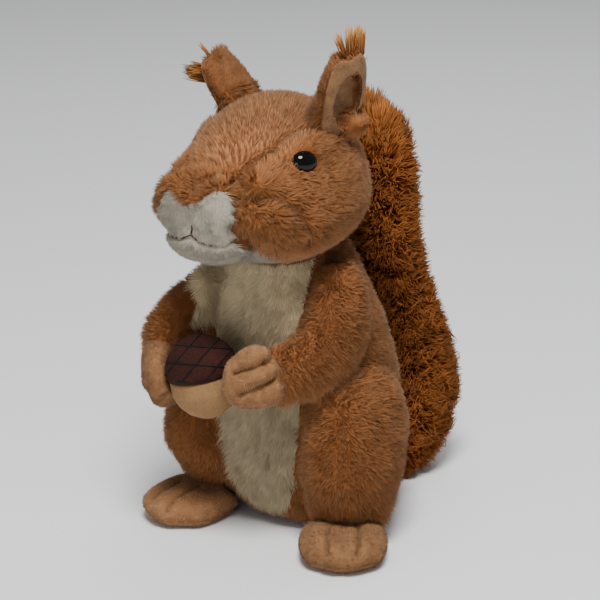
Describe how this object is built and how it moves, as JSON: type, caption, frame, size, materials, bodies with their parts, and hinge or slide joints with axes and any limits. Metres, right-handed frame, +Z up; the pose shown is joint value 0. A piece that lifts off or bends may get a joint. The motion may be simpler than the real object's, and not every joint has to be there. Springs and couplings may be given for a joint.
{
  "type": "plush toy squirrel",
  "caption": "Stuffed plush toy squirrel that sits upright on its hind feet, holds a fabric acorn in both hands and has a shaggy upright tail.",
  "frame": {"origin": "on the floor, at the middle of the flat seat under the trunk", "axes": "+Z up, the squirrel faces -Y, its left side is +X"},
  "size_m": [0.1634, 0.2284, 0.2802],
  "materials": {
    "tan_plush": "short clumped plush pile",
    "cream_plush": "short cream plush pile",
    "beige_velour": "close-cropped velour",
    "orange_fibre": "loose long fibre",
    "rust_plush": "long shaggy pile with golden tips",
    "black_plastic": "polished",
    "brown_felt": "woven felt with a stitched lattice",
    "nut_velour": "smooth short velour"
  },
  "bodies": {
    "root": {"trunk": "tan_plush", "head": "tan_plush", "muzzle": "cream_plush", "ear_left": "tan_plush", "ear_right": "tan_plush", "ear_tuft_left": "orange_fibre", "ear_tuft_right": "orange_fibre", "eye_left": "black_plastic", "eye_right": "black_plastic", "arm_left": "tan_plush", "arm_right": "tan_plush", "hand_left": "beige_velour", "hand_right": "beige_velour", "leg_left": "tan_plush", "leg_right": "tan_plush", "foot_left": "beige_velour", "foot_right": "beige_velour", "tail": "rust_plush", "acorn_cap": "brown_felt", "acorn_nut": "nut_velour"}
  },
  "joints": []
}
